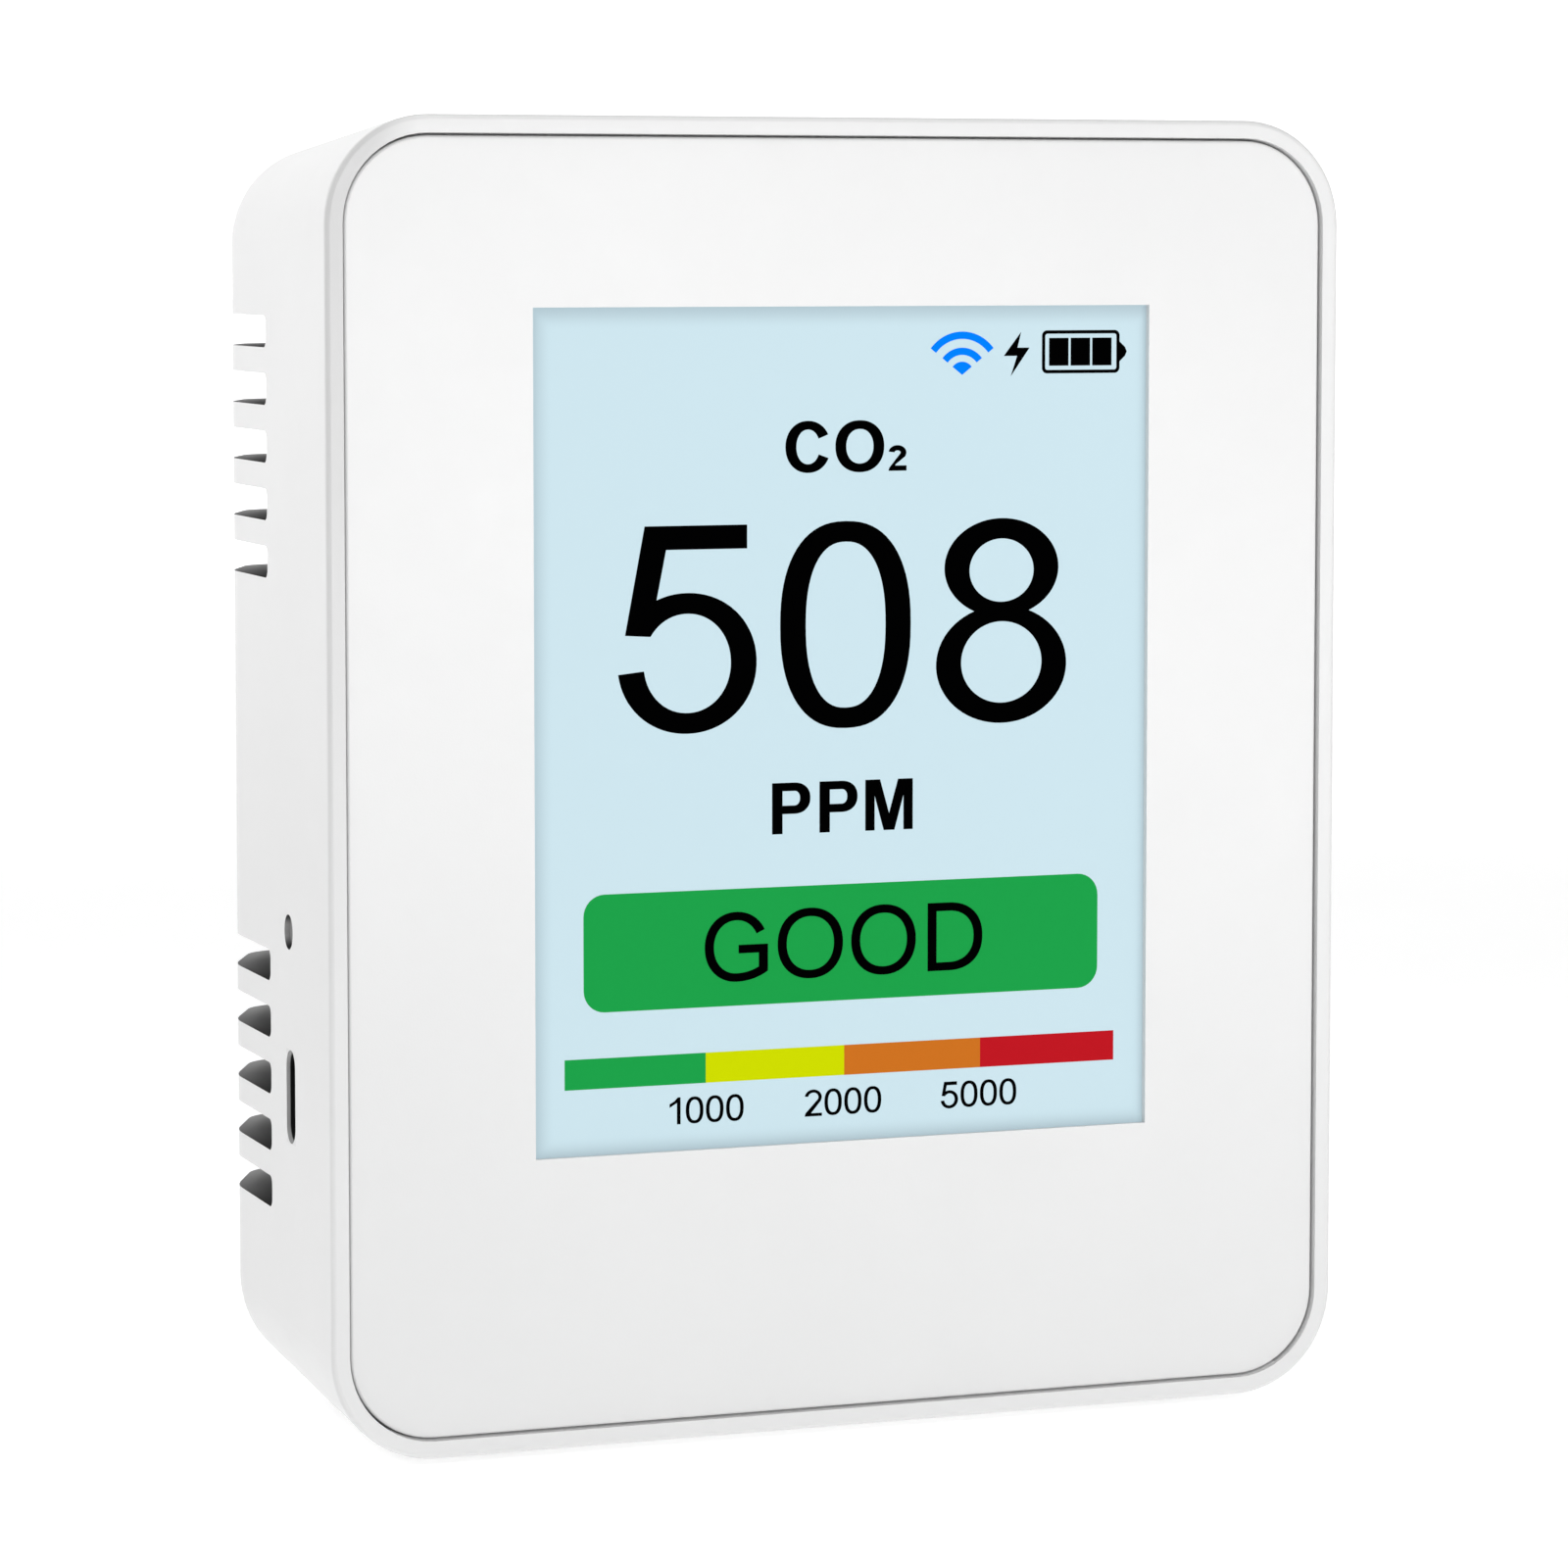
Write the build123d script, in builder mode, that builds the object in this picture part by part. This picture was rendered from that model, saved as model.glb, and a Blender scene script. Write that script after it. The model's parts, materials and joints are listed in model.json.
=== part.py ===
from build123d import *

import os

# Carbon dioxide monitor: an upright desk instrument. Millimetres, +Z up, display facing -Y.
# The origin is in the middle of the footprint, on the surface that the four feet stand on.
# "behind" is the distance back from the front rim, "across" and "up" start at the face's centre.

# ---- Casing -------------------------------------------------------------------------------
width = 108.0
height = 130.0
side_depth = 40.0  # front rim to the shoulder
taper_depth = 10.0  # shoulder to the flat back
side_draft = 3.0  # how far each side wall comes in from the rim to the shoulder
taper_inset = 4.9  # how far it comes in again from the shoulder to the back
wall = 1.8
corner_radii = (10.5, 9.0, 7.5)  # rim, shoulder and back outlines
shoulder_radius = 12.0
back_radius = 5.0
rim_round = 0.5
ledge_inset = 2.9  # ledge that stops the front plate
ledge_depths = (2.45, 4.2)
foot_drop = 0.5  # how far the feet hold the rim off the table

depth = side_depth + taper_depth
front_y = -depth / 2
mid_z = foot_drop + height / 2

# ---- Vents, button and charging port in the sides --------------------------------------------
vent_count = 5
vent_height = 3.15
vent_pitch = 5.7
vent_start = 24.5
vent_centres = (32.6, -30.4)
vent_inner_across = 42.0
vent_corner = 0.9
vent_ledge = 1.2  # thickness of the ledge that runs inward along the lower side of each slot
button_behind = 16.7
button_up = -14.8
button_hole_radius = 1.7
port_up = -31.1
port_opening = (9.3, 3.6)
port_shell = (8.94, 3.26)

# ---- Front plate and display stack ------------------------------------------------------------
plate_gap = 0.27
plate_recess = 0.4
plate_thickness = 2.0
plate_round = 0.25
plate_inset = wall + plate_gap
plate_back = plate_recess + plate_thickness
window = (65.8, 82.8)
window_up = 5.1
window_lip = 0.7
lip_back = plate_recess + window_lip
display_pocket = (73.0, 94.0)
gasket_outer = (71.0, 89.6)
gasket_inner = (67.6, 85.6)
gasket_thickness = 0.3
polariser_size = (67.0, 85.0)
polariser_thickness = 0.2
glass_size = (69.0, 90.0)
glass_front = lip_back + gasket_thickness
glass_thickness = 1.4
backlight_size = (68.0, 89.0)
backlight_thickness = 2.2
display_corner = 1.0
frame_size = (72.0, 93.0)
frame_depths = (glass_front + 0.05, 5.5)
frame_floor = 0.4
frame_clearance = 0.1

# ---- Screw towers and bosses ------------------------------------------------------------------
case_screw_grid = (79.0, 101.0)
boss_radius = 3.0
boss_end = 15.5
tower_radius = 3.6
tower_start = boss_end + 0.05
tower_seat = tower_start + 3.0
counterbore_radius = 2.9
case_shank_radius = 1.2
case_head_radius = 2.5
case_head_height = 1.8
case_screw_bite = 7.0
post_grid = (83.0, 56.0)
post_radius = 2.4
board_shank_radius = 0.9
board_head_radius = 1.9
board_head_height = 1.2
board_screw_bite = 5.0
screw_clearance = 0.2

# ---- Main board ---------------------------------------------------------------------------------
board_front = 12.95
board_thickness = 1.6
board_back = board_front + board_thickness
board_size = (96.8, 93.0)
board_corner = 2.0
chip_corner = 0.2
board_across = -2.4
port_behind = board_back + port_shell[1] / 2

# ---- Battery -------------------------------------------------------------------------------------
battery_size = (50.0, 60.0)
battery_thickness = 7.4
battery_corner = 2.0
battery_round = 1.2
pad_size = (35.0, 42.0)
pad_corner = 1.0
pad_thickness = 0.6
battery_back = depth - wall - pad_thickness
battery_front = battery_back - battery_thickness
lead_across = 2.0
lead_radius = 0.65
lead_up = 40.0

# ---- Feet ----------------------------------------------------------------------------------------
foot_radius = 4.5
foot_clearance = 0.1
foot_round = 0.3
foot_across = 36.0
foot_rows = ((9.0, foot_drop + 1.5), (31.0, foot_drop + 3.1))  # distance behind, top

os.makedirs("parts", exist_ok=True)


def face(behind):
    """Upright plane facing the front, this far behind the rim."""
    return Plane(origin=(0, front_y + behind, mid_z), x_dir=(1, 0, 0), z_dir=(0, -1, 0))


def side(across):
    """Upright plane facing +X: its x runs back from the rim and its y runs up."""
    return Plane(origin=(across, front_y, mid_z), x_dir=(0, 1, 0), z_dir=(1, 0, 0))


def save(built, name):
    """Label a finished piece and write its STEP file."""
    built.part.label = name
    export_step(built.part, f"parts/{name}.step")


def skin_across(behind):
    """How far out the side wall's outer face is, between the rim and the shoulder."""
    return width / 2 - side_draft * behind / side_depth


def casing_form(skin):
    """The casing's outer form, or the hollow that lies this far under its skin."""
    back_inset = side_draft + taper_inset * (1 - skin / taper_depth)
    depths = (0, side_depth, depth - skin)
    insets = (0, side_draft, back_inset)
    with BuildPart() as form:
        for behind, inset, corner in zip(depths, insets, corner_radii):
            with BuildSketch(face(behind)):
                RectangleRounded(width - 2 * (inset + skin), height - 2 * (inset + skin), corner - skin)
        loft(ruled=True)
        shoulder_y = front_y + side_depth
        shoulder = form.edges().filter_by_position(Axis.Y, shoulder_y - 0.01, shoulder_y + 0.01)
        fillet(shoulder, shoulder_radius - skin)
        fillet(form.faces().sort_by(Axis.Y)[-1].edges(), back_radius - skin)
    return form.part


# ---- Rear housing: one deep tub with vents, screw towers and a ledge ------------------------------
outer_form = casing_form(0)
inner_form = casing_form(wall)
ledge_root = 1.3  # the ledge starts inside the wall, this far in from the outline
into_wall = 0.5 * wall  # how far a tower reaches into the back wall
vent_overrun = 2.0
side_overrun = 1.0
vent_length = depth - vent_start + vent_overrun
vent_sides = (-width / 2 - side_overrun, vent_inner_across)
vent_reach = width / 2 + side_overrun - vent_inner_across

with BuildPart() as vent_ledges:
    for start in vent_sides:
        with BuildSketch(side(start)):
            for centre in vent_centres:
                with Locations((vent_start + vent_length / 2, centre - (vent_height + vent_ledge) / 2)):
                    with GridLocations(1.0, vent_pitch, 1, vent_count):
                        Rectangle(vent_length, vent_ledge)
        extrude(amount=vent_reach)
    add(outer_form, mode=Mode.INTERSECT)

with BuildPart() as rear_housing:
    add(outer_form)
    add(inner_form, mode=Mode.SUBTRACT)
    add(vent_ledges.part)
    rim = rear_housing.faces().sort_by(Axis.Y)[0]
    fillet(rim.outer_wire().edges(), rim_round)

    with BuildSketch(face(ledge_depths[0])):
        RectangleRounded(width - 2 * ledge_root, height - 2 * ledge_root, corner_radii[0] - ledge_root)
        RectangleRounded(
            width - 2 * ledge_inset,
            height - 2 * ledge_inset,
            corner_radii[0] - ledge_inset,
            mode=Mode.SUBTRACT,
        )
    extrude(amount=ledge_depths[0] - ledge_depths[1])

    with BuildSketch(face(tower_start)):
        with GridLocations(*case_screw_grid, 2, 2):
            Circle(tower_radius)
    extrude(amount=tower_start - depth + into_wall)

    with BuildSketch(face(depth)):
        with GridLocations(*case_screw_grid, 2, 2):
            Circle(counterbore_radius)
    extrude(amount=depth - tower_seat, mode=Mode.SUBTRACT)
    with BuildSketch(face(depth)):
        with GridLocations(*case_screw_grid, 2, 2):
            Circle(case_shank_radius + screw_clearance)
    extrude(amount=depth, mode=Mode.SUBTRACT)

    for start in vent_sides:
        with BuildSketch(side(start)):
            for centre in vent_centres:
                with Locations((vent_start + vent_length / 2, centre)):
                    with GridLocations(1.0, vent_pitch, 1, vent_count):
                        RectangleRounded(vent_length, vent_height, vent_corner)
        extrude(amount=vent_reach, mode=Mode.SUBTRACT)

    with BuildSketch(side(-width / 2 - side_overrun)):
        with Locations((button_behind, button_up)):
            Circle(button_hole_radius)
        with Locations((port_behind, port_up)):
            SlotOverall(*port_opening, rotation=90)
    extrude(amount=3 * wall, mode=Mode.SUBTRACT)

    for behind, top in foot_rows:
        with BuildSketch(Plane.XY):
            with Locations((-foot_across, front_y + behind), (foot_across, front_y + behind)):
                Circle(foot_radius + foot_clearance)
        extrude(amount=top, mode=Mode.SUBTRACT)

save(rear_housing, "rear_housing")

# ---- Front plate: inset panel with the display window, bosses, board posts and display clips ----
clip_thickness = 1.4
clip_hook = 2.0
clip_gap = 0.3
clip_spacing = (frame_size[0] + 2 * clip_gap + clip_thickness, 52.0)
clip_length = 8.0
screw_hole_spare = 0.5  # how much deeper a screw's hole is than its bite
clip_lip_depths = (5.6, 6.6)

with BuildPart() as front_plate:
    with BuildSketch(face(plate_recess)):
        RectangleRounded(width - 2 * plate_inset, height - 2 * plate_inset, corner_radii[0] - plate_inset)
        with Locations((0, window_up)):
            Rectangle(*window, mode=Mode.SUBTRACT)
    extrude(amount=-plate_thickness)
    front_face = front_plate.faces().sort_by(Axis.Y)[0]
    fillet(front_face.outer_wire().edges(), plate_round)

    with BuildSketch(face(lip_back)):
        with Locations((0, window_up)):
            Rectangle(*display_pocket)
    extrude(amount=lip_back - plate_back, mode=Mode.SUBTRACT)

    with BuildSketch(face(plate_back)):
        with GridLocations(*case_screw_grid, 2, 2):
            Circle(boss_radius)
    extrude(amount=plate_back - boss_end)
    with BuildSketch(face(boss_end)):
        with GridLocations(*case_screw_grid, 2, 2):
            Circle(case_shank_radius)
    extrude(amount=case_screw_bite + screw_hole_spare, mode=Mode.SUBTRACT)

    with BuildSketch(face(plate_back)):
        with GridLocations(*post_grid, 2, 2):
            Circle(post_radius)
    extrude(amount=plate_back - board_front)
    with BuildSketch(face(board_front)):
        with GridLocations(*post_grid, 2, 2):
            Circle(board_shank_radius)
    extrude(amount=board_screw_bite + screw_hole_spare, mode=Mode.SUBTRACT)

    with BuildSketch(face(lip_back)):
        with Locations((0, window_up)):
            with GridLocations(*clip_spacing, 2, 2):
                Rectangle(clip_thickness, clip_length)
    extrude(amount=lip_back - clip_lip_depths[1])
    with BuildSketch(face(clip_lip_depths[0])):
        with Locations((0, window_up)):
            with GridLocations(clip_spacing[0] - clip_thickness, clip_spacing[1], 2, 2):
                Rectangle(clip_hook, clip_length)
    extrude(amount=clip_lip_depths[0] - clip_lip_depths[1])

save(front_plate, "front_plate")

# ---- Display stack, from the window back ---------------------------------------------------------
with BuildPart() as window_gasket:
    with BuildSketch(face(lip_back)):
        with Locations((0, window_up)):
            Rectangle(*gasket_outer)
            Rectangle(*gasket_inner, mode=Mode.SUBTRACT)
    extrude(amount=-gasket_thickness)
save(window_gasket, "window_gasket")

with BuildPart() as lcd_polariser:
    with BuildSketch(face(glass_front)):
        with Locations((0, window_up)):
            Rectangle(*polariser_size)
    extrude(amount=polariser_thickness)
save(lcd_polariser, "lcd_polariser")

glass_back = glass_front + glass_thickness
with BuildPart() as lcd_glass:
    with BuildSketch(face(glass_front)):
        with Locations((0, window_up)):
            Rectangle(*glass_size)
    extrude(amount=-glass_thickness)
save(lcd_glass, "lcd_glass")

backlight_back = glass_back + backlight_thickness
with BuildPart() as backlight_panel:
    with BuildSketch(face(glass_back)):
        with Locations((0, window_up)):
            RectangleRounded(*backlight_size, display_corner)
    extrude(amount=-backlight_thickness)
save(backlight_panel, "backlight_panel")

flex_slot_up = window_up - 41.0
flex_width = 24.0
flex_slot_size = (flex_width + 1.0, 1.6)
with BuildPart() as display_frame:
    with BuildSketch(face(frame_depths[0])):
        with Locations((0, window_up)):
            RectangleRounded(*frame_size, display_corner)
    extrude(amount=frame_depths[0] - frame_depths[1])
    with BuildSketch(face(frame_depths[0])):
        with Locations((0, window_up)):
            Rectangle(glass_size[0] + 2 * frame_clearance, glass_size[1] + 2 * frame_clearance)
    extrude(amount=frame_depths[0] - frame_depths[1] + frame_floor, mode=Mode.SUBTRACT)
    with BuildSketch(face(0)):
        with Locations((0, flex_slot_up)):
            Rectangle(*flex_slot_size)
    extrude(amount=-frame_depths[1], mode=Mode.SUBTRACT)
save(display_frame, "display_frame")

flex_thickness = 0.2
flex_bend = 1.2
flex_start_gap = 0.02
flex_to_board = 0.85
flex_run_length = 6.0
flex_run_behind = board_front - flex_to_board
flex_end_up = flex_slot_up + flex_run_length
with BuildPart() as display_flex:
    with BuildSketch(side(-flex_width / 2)):
        with BuildLine() as flex_route:
            FilletPolyline(
                (backlight_back + flex_start_gap, flex_slot_up),
                (flex_run_behind, flex_slot_up),
                (flex_run_behind, flex_end_up),
                radius=flex_bend,
            )
        trace(line_width=flex_thickness)
    extrude(amount=flex_width)
save(display_flex, "display_flex")

connector_size = (flex_width + 3.0, 4.4)
connector_rise = flex_to_board + 0.9
connector_up = flex_end_up + 1.2
connector_slot = (flex_width + 0.4, 1.4)
connector_slot_up = flex_end_up - 0.5
connector_slot_gap = 0.3
with BuildPart() as display_connector:
    with BuildSketch(face(board_front)):
        with Locations((0, connector_up)):
            Rectangle(*connector_size)
    extrude(amount=connector_rise)
    with BuildSketch(face(flex_run_behind + connector_slot_gap / 2)):
        with Locations((0, connector_slot_up)):
            Rectangle(*connector_slot)
    extrude(amount=connector_slot_gap, mode=Mode.SUBTRACT)
save(display_connector, "display_connector")

# ---- Main board ----------------------------------------------------------------------------------
with BuildPart() as main_board:
    with BuildSketch(face(board_front)):
        with Locations((board_across, 0)):
            RectangleRounded(*board_size, board_corner)
        with GridLocations(*post_grid, 2, 2):
            Circle(board_shank_radius + screw_clearance, mode=Mode.SUBTRACT)
    extrude(amount=-board_thickness)
save(main_board, "main_board")

# ---- Charging port: oval shell, open towards -X, with its contact tongue --------------------------
port_cavity = (8.34, 2.66)
port_setback = 0.9  # how far the shell's mouth lies under the casing's skin
port_mouth = port_setback - skin_across(port_behind)
port_length = 7.35
port_end_wall = 1.2
tongue = (0.7, 6.7)
tongue_corner = 0.2
tongue_setback = 0.9
tongue_tip = port_mouth + tongue_setback
port_floor = port_mouth + port_length - port_end_wall

with BuildPart() as charging_port_shell:
    with BuildSketch(side(port_mouth)):
        with Locations((port_behind, port_up)):
            SlotOverall(*port_shell, rotation=90)
    extrude(amount=port_length)
    with BuildSketch(side(port_mouth)):
        with Locations((port_behind, port_up)):
            SlotOverall(*port_cavity, rotation=90)
    extrude(amount=port_floor - port_mouth, mode=Mode.SUBTRACT)
save(charging_port_shell, "charging_port_shell")

with BuildPart() as charging_port_tongue:
    with BuildSketch(side(tongue_tip)):
        with Locations((port_behind, port_up)):
            RectangleRounded(*tongue, tongue_corner)
    extrude(amount=port_floor - tongue_tip)
save(charging_port_tongue, "charging_port_tongue")

# ---- Reset button: a recessed cap that pushes a side switch ---------------------------------------
button_skin = -skin_across(button_behind)
cap_radius = 1.5
cap_round = 0.25
cap_face = button_skin + 0.5
flange_radius = 2.0
flange_across = (button_skin + 2.25, button_skin + 2.85)
stem_radius = 0.9
plunger_tip = button_skin + 3.55
switch_front = plunger_tip + 1.0
switch_length = 4.2
switch_size = (4.4, 6.2)
switch_corner = 0.3
switch_behind = board_back + switch_size[0] / 2
plunger_size = (1.6, 2.6)
plunger_root = switch_front + 0.6
pocket_floor = plunger_root + 0.8
pocket_clearance = 0.12

with BuildPart() as reset_button:
    with BuildSketch(side(cap_face)):
        with Locations((button_behind, button_up)):
            Circle(cap_radius)
    extrude(amount=flange_across[0] - cap_face)
    fillet(reset_button.faces().sort_by(Axis.X)[0].edges(), cap_round)
    with BuildSketch(side(flange_across[0])):
        with Locations((button_behind, button_up)):
            Circle(flange_radius)
    extrude(amount=flange_across[1] - flange_across[0])
    with BuildSketch(side(flange_across[1])):
        with Locations((button_behind, button_up)):
            Circle(stem_radius)
    extrude(amount=plunger_tip - flange_across[1])
save(reset_button, "reset_button")

with BuildPart() as switch_plunger:
    with BuildSketch(side(plunger_tip)):
        with Locations((button_behind, button_up)):
            RectangleRounded(*plunger_size, switch_corner)
    extrude(amount=plunger_root - plunger_tip)
save(switch_plunger, "switch_plunger")

with BuildPart() as switch_body:
    with BuildSketch(side(switch_front)):
        with Locations((switch_behind, button_up)):
            RectangleRounded(*switch_size, switch_corner)
    extrude(amount=switch_length)
    with BuildSketch(side(switch_front)):
        with Locations((button_behind, button_up)):
            Rectangle(plunger_size[0] + 2 * pocket_clearance, plunger_size[1] + 2 * pocket_clearance)
    extrude(amount=pocket_floor - switch_front, mode=Mode.SUBTRACT)
save(switch_body, "switch_body")

# ---- Carbon dioxide sensor: a small board on pins, with an optical chamber and a filter ------------
sensor_across = -28.2
sensor_up = 26.0
sensor_board_size = (20.0, 33.0)
sensor_board_corner = 0.8
sensor_standoff = 2.5
sensor_board_thickness = 1.0
pin_spacing = (17.5, 2.54)
pins_per_row = 5
pin_side = 0.6
chamber_size = (17.6, 25.0)
chamber_height = 6.4
chamber_corner = 3.0
chamber_round = 0.6
chamber_up = sensor_up + 2.0
filter_size = (12.0, 9.0)
filter_corner = 0.8
filter_thickness = 0.4
sensor_board_front = board_back + sensor_standoff
chamber_front = sensor_board_front + sensor_board_thickness
chamber_back = chamber_front + chamber_height

with BuildPart() as co2_sensor_board:
    with BuildSketch(face(sensor_board_front)):
        with Locations((sensor_across, sensor_up)):
            RectangleRounded(*sensor_board_size, sensor_board_corner)
    extrude(amount=-sensor_board_thickness)
save(co2_sensor_board, "co2_sensor_board")

with BuildPart() as co2_sensor_pins:
    with BuildSketch(face(board_back)):
        with Locations((sensor_across, sensor_up)):
            with GridLocations(*pin_spacing, 2, pins_per_row):
                Rectangle(pin_side, pin_side)
    extrude(amount=-sensor_standoff)
save(co2_sensor_pins, "co2_sensor_pins")

with BuildPart() as co2_sensor_chamber:
    with BuildSketch(face(chamber_front)):
        with Locations((sensor_across, chamber_up)):
            RectangleRounded(*chamber_size, chamber_corner)
    extrude(amount=-chamber_height)
    fillet(co2_sensor_chamber.faces().sort_by(Axis.Y)[-1].edges(), chamber_round)
save(co2_sensor_chamber, "co2_sensor_chamber")

with BuildPart() as co2_sensor_filter:
    with BuildSketch(face(chamber_back)):
        with Locations((sensor_across, chamber_up)):
            RectangleRounded(*filter_size, filter_corner)
    extrude(amount=-filter_thickness)
save(co2_sensor_filter, "co2_sensor_filter")

humidity_at = (-46.0, -43.5)
humidity_side = 2.5
humidity_rise = 0.9
humidity_hole = (0.5, 0.3)  # radius and depth
with BuildPart() as humidity_sensor:
    with BuildSketch(face(board_back)):
        with Locations(humidity_at):
            RectangleRounded(humidity_side, humidity_side, chip_corner)
    extrude(amount=-humidity_rise)
    with BuildSketch(face(board_back + humidity_rise)):
        with Locations(humidity_at):
            Circle(humidity_hole[0])
    extrude(amount=humidity_hole[1], mode=Mode.SUBTRACT)
save(humidity_sensor, "humidity_sensor")

# ---- Wireless module, buzzer and board components ---------------------------------------------------
wireless_at = (29.0, 33.0)
wireless_size = (18.0, 25.0)
wireless_corner = 0.5
wireless_thickness = 0.8
shield_at = (29.0, 30.0)
shield_size = (15.6, 17.0)
shield_corner = 0.8
shield_rise = 2.2
can_round = 0.3
buzzer_at = (30.0, -32.0)
buzzer_radius = 6.0
buzzer_rise = 5.4
buzzer_hole = (1.1, 1.5)  # radius and depth
with BuildPart() as wireless_board:
    with BuildSketch(face(board_back)):
        with Locations(wireless_at):
            RectangleRounded(*wireless_size, wireless_corner)
    extrude(amount=-wireless_thickness)
save(wireless_board, "wireless_board")

with BuildPart() as wireless_shield:
    with BuildSketch(face(board_back + wireless_thickness)):
        with Locations(shield_at):
            RectangleRounded(*shield_size, shield_corner)
    extrude(amount=-shield_rise)
    fillet(wireless_shield.faces().sort_by(Axis.Y)[-1].edges(), can_round)
save(wireless_shield, "wireless_shield")

with BuildPart() as buzzer:
    with BuildSketch(face(board_back)):
        with Locations(buzzer_at):
            Circle(buzzer_radius)
    extrude(amount=-buzzer_rise)
    with BuildSketch(face(board_back + buzzer_rise)):
        with Locations(buzzer_at):
            Circle(buzzer_hole[0])
    extrude(amount=buzzer_hole[1], mode=Mode.SUBTRACT)
    fillet(buzzer.faces().sort_by(Axis.Y)[-1].edges(), can_round)
save(buzzer, "buzzer")

chip_places = ((2.0, -6.0), (-16.0, -14.0), (-30.0, -34.0))
chip_sides = (10.0, 5.0, 4.0)
chip_rise = 0.95
with BuildPart() as board_chips:
    with BuildSketch(face(board_back)):
        for place, chip_side in zip(chip_places, chip_sides):
            with Locations(place):
                RectangleRounded(chip_side, chip_side, chip_corner)
    extrude(amount=-chip_rise)
save(board_chips, "board_chips")

can_places = ((-32.0, -22.0), (-25.0, -22.0), (16.0, -22.0))
can_radius = 2.5
can_rise = 5.4
block_rows = ((2.0, 4.0), (2.0, -16.0))
block_count = 4
block_pitch = 3.0
block_size = (1.0, 1.8)
block_rise = 0.8
with BuildPart() as board_capacitors:
    with BuildSketch(face(board_back)):
        with Locations(*can_places):
            Circle(can_radius)
    extrude(amount=-can_rise)
    with BuildSketch(face(board_back)):
        with Locations(*block_rows):
            with GridLocations(block_pitch, 1.0, block_count, 1):
                Rectangle(*block_size)
    extrude(amount=-block_rise)
save(board_capacitors, "board_capacitors")

inductor_at = (-21.0, -34.0)
inductor_side = 6.0
inductor_corner = 1.2
inductor_rise = 3.0
with BuildPart() as power_inductor:
    with BuildSketch(face(board_back)):
        with Locations(inductor_at):
            RectangleRounded(inductor_side, inductor_side, inductor_corner)
    extrude(amount=-inductor_rise)
save(power_inductor, "power_inductor")

# ---- Battery with its foam pad, leads, plug and socket -------------------------------------------------
with BuildPart() as battery_pad:
    with BuildSketch(face(battery_back)):
        RectangleRounded(*pad_size, pad_corner)
    extrude(amount=-pad_thickness)
save(battery_pad, "battery_pad")

with BuildPart() as battery_cell:
    with BuildSketch(face(battery_front)):
        RectangleRounded(*battery_size, battery_corner)
    extrude(amount=-battery_thickness)
    fillet(battery_cell.faces().sort_by(Axis.Y)[0].edges(), battery_round)
    fillet(battery_cell.faces().sort_by(Axis.Y)[-1].edges(), battery_round)
save(battery_cell, "battery_cell")

socket_size = (8.0, 6.0)
socket_rise = 4.6
plug_size = (5.8, 3.6)
plug_depths = (board_back + 1.4, board_back + 7.0)
with BuildPart() as battery_socket:
    with BuildSketch(face(board_back)):
        with Locations((0, lead_up)):
            Rectangle(*socket_size)
    extrude(amount=-socket_rise)
    with BuildSketch(face(plug_depths[0])):
        with Locations((0, lead_up)):
            Rectangle(*plug_size)
    extrude(amount=-socket_rise, mode=Mode.SUBTRACT)
save(battery_socket, "battery_socket")

with BuildPart() as battery_plug:
    with BuildSketch(face(plug_depths[0])):
        with Locations((0, lead_up)):
            Rectangle(*plug_size)
    extrude(amount=plug_depths[0] - plug_depths[1])
save(battery_plug, "battery_plug")

lead_bend = 6.0
lead_behind = battery_front + 0.5 * battery_thickness
plug_y = front_y + plug_depths[1]
lead_y = front_y + lead_behind
for lead_name, sideways in (("battery_lead_red", -1), ("battery_lead_black", 1)):
    lead_x = sideways * lead_across / 2
    with BuildPart() as battery_lead:
        with BuildLine() as lead_route:
            FilletPolyline(
                (lead_x, lead_y, mid_z + battery_size[1] / 2),
                (lead_x, lead_y, mid_z + lead_up),
                (lead_x, plug_y, mid_z + lead_up),
                radius=lead_bend,
            )
        with BuildSketch(Plane(origin=(lead_x, lead_y, mid_z + battery_size[1] / 2), z_dir=(0, 0, 1))):
            Circle(lead_radius)
        sweep()
    save(battery_lead, lead_name)

# ---- Fasteners ---------------------------------------------------------------------------------------
case_recess = (0.55, 2.4)
case_recess_depth = 1.0
case_head_round = 0.5
board_recess = (0.4, 1.8)
board_recess_depth = 0.6
with BuildPart() as case_screws:
    with BuildSketch(face(tower_seat)):
        with GridLocations(*case_screw_grid, 2, 2):
            Circle(case_head_radius)
    extrude(amount=-case_head_height)
    fillet(case_screws.faces().sort_by(Axis.Y)[-4:].edges(), case_head_round)
    with BuildSketch(face(tower_seat)):
        with GridLocations(*case_screw_grid, 2, 2):
            Circle(case_shank_radius)
    extrude(amount=tower_seat - boss_end + case_screw_bite)
    with BuildSketch(face(tower_seat + case_head_height)):
        with GridLocations(*case_screw_grid, 2, 2):
            Rectangle(*case_recess)
            Rectangle(*reversed(case_recess))
    extrude(amount=case_recess_depth, mode=Mode.SUBTRACT)
save(case_screws, "case_screws")

with BuildPart() as board_screws:
    with BuildSketch(face(board_back)):
        with GridLocations(*post_grid, 2, 2):
            Circle(board_head_radius)
    extrude(amount=-board_head_height)
    with BuildSketch(face(board_back)):
        with GridLocations(*post_grid, 2, 2):
            Circle(board_shank_radius)
    extrude(amount=board_thickness + board_screw_bite)
    with BuildSketch(face(board_back + board_head_height)):
        with GridLocations(*post_grid, 2, 2):
            Rectangle(*board_recess)
            Rectangle(*reversed(board_recess))
    extrude(amount=board_recess_depth, mode=Mode.SUBTRACT)
save(board_screws, "board_screws")

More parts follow.
